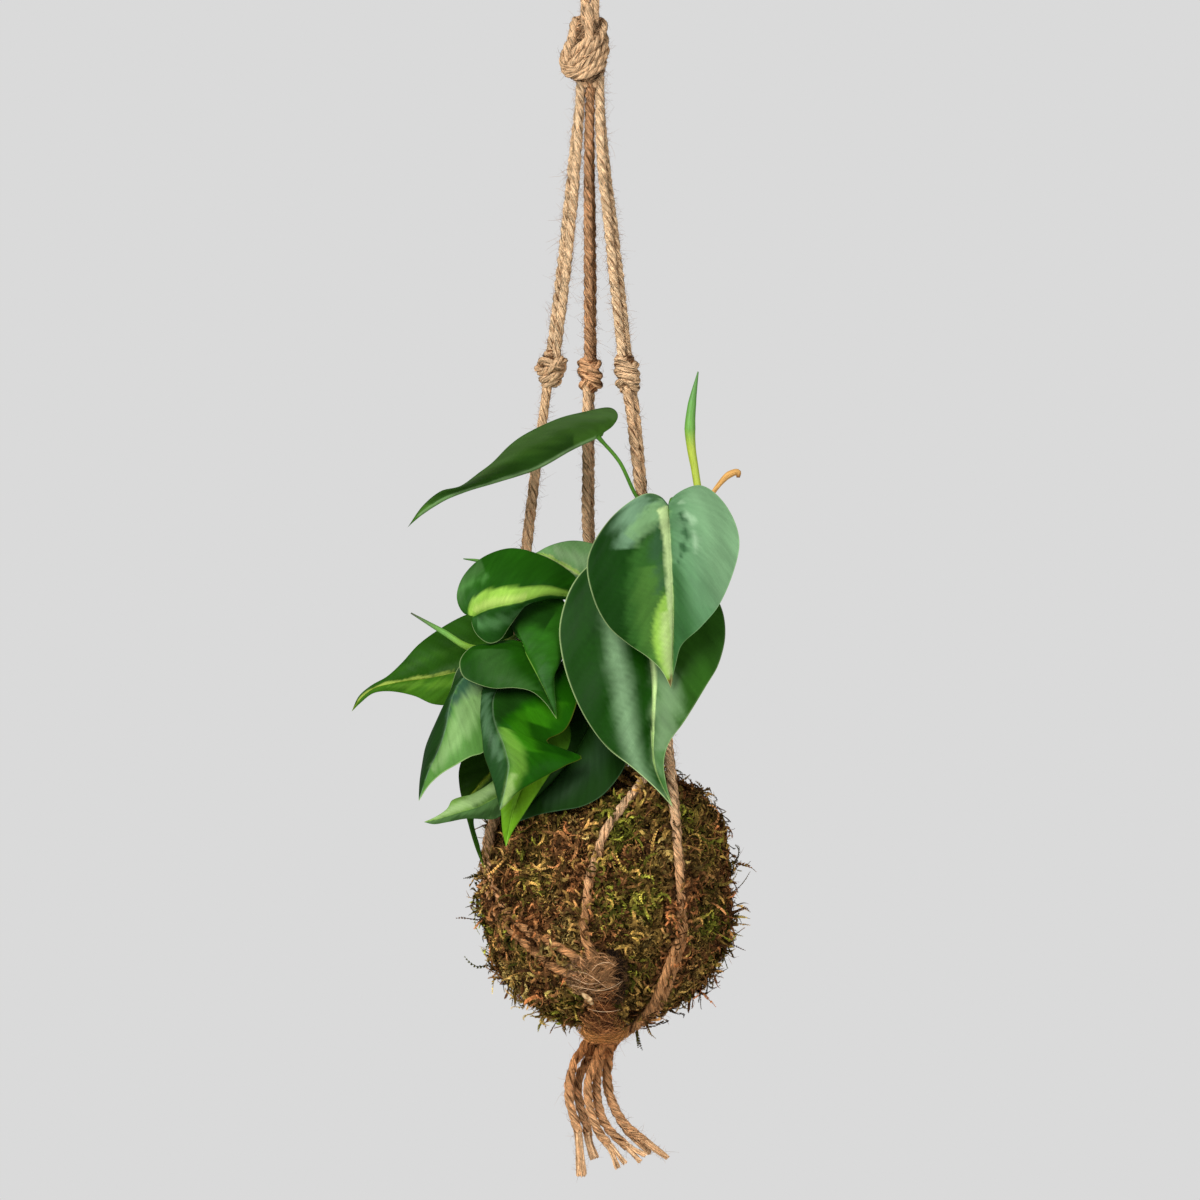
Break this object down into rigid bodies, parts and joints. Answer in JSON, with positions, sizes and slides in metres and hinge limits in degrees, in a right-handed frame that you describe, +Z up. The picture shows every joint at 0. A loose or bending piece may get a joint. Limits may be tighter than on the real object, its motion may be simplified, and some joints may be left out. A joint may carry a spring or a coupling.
{
  "type": "hanging kokedama moss ball plant",
  "caption": "Kokedama: a variegated heartleaf philodendron growing from a moss-wrapped soil ball, hung in a knotted jute hanger with a loop to hang it by and frayed tails below.",
  "frame": {"origin": "inner top of the hanging loop, where a hook bears", "axes": "+Z up along the hanging line, -Y towards the front of the plant, +X to its right"},
  "size_m": [0.1857, 0.1317, 0.6156],
  "materials": {
    "jute": "three-ply twisted jute cord, light tan, dry and fuzzy",
    "jute_on_ball": "the same cord, damp and reddish brown against the moss",
    "leaf_green": "dark green leaf with a satin gloss and lime variegation",
    "leaf_lime": "bright green to lime leaf with a satin gloss",
    "stem_green": "mid-green stem, satin",
    "new_green": "light green young shoot, satin",
    "husk": "dry golden-tan leaf sheath, papery",
    "moss": "sheet moss, olive green with brown and rust patches, matt",
    "soil": "dark moist potting soil, crumbly"
  },
  "bodies": {
    "root": {"top_knot": "jute", "left_upper_knot": "jute", "middle_upper_knot": "jute", "right_upper_knot": "jute", "loop_cord_front": "jute", "loop_cord_middle": "jute", "loop_cord_back": "jute", "upper_strand_left_a": "jute", "upper_strand_left_b": "jute", "upper_strand_middle_a": "jute", "upper_strand_middle_b": "jute", "upper_strand_right_a": "jute", "upper_strand_right_b": "jute", "left_outer_strand": "jute", "left_inner_strand": "jute", "front_strand": "jute", "back_strand": "jute", "right_outer_strand": "jute", "right_inner_strand": "jute", "tail_left_front": "jute", "tail_left_back": "jute", "tail_middle_front": "jute", "tail_middle_back": "jute", "tail_right_front": "jute", "tail_right_back": "jute", "front_net_knot": "jute_on_ball", "bottom_knot": "jute_on_ball", "net_strand_left": "jute_on_ball", "net_strand_middle": "jute_on_ball", "net_strand_right": "jute_on_ball", "right_stem": "stem_green", "left_stem": "stem_green", "low_stem": "stem_green", "front_heart_leaf": "leaf_green", "rear_heart_leaf": "leaf_green", "high_leaf": "leaf_green", "folded_leaf": "leaf_green", "back_leaf": "leaf_green", "middle_leaf": "leaf_green", "pointed_leaf": "leaf_green", "ball_leaf": "leaf_green", "drip_tip_leaf": "leaf_green", "drooping_leaf": "leaf_lime", "torn_leaf": "leaf_lime", "hanging_tip_leaf": "leaf_lime", "wavy_leaf": "leaf_lime", "rolled_leaf": "new_green", "left_sheath": "new_green", "small_sheath": "new_green", "dry_sheath": "husk", "soil_ball": "soil", "moss_cover": "moss"}
  },
  "joints": []
}
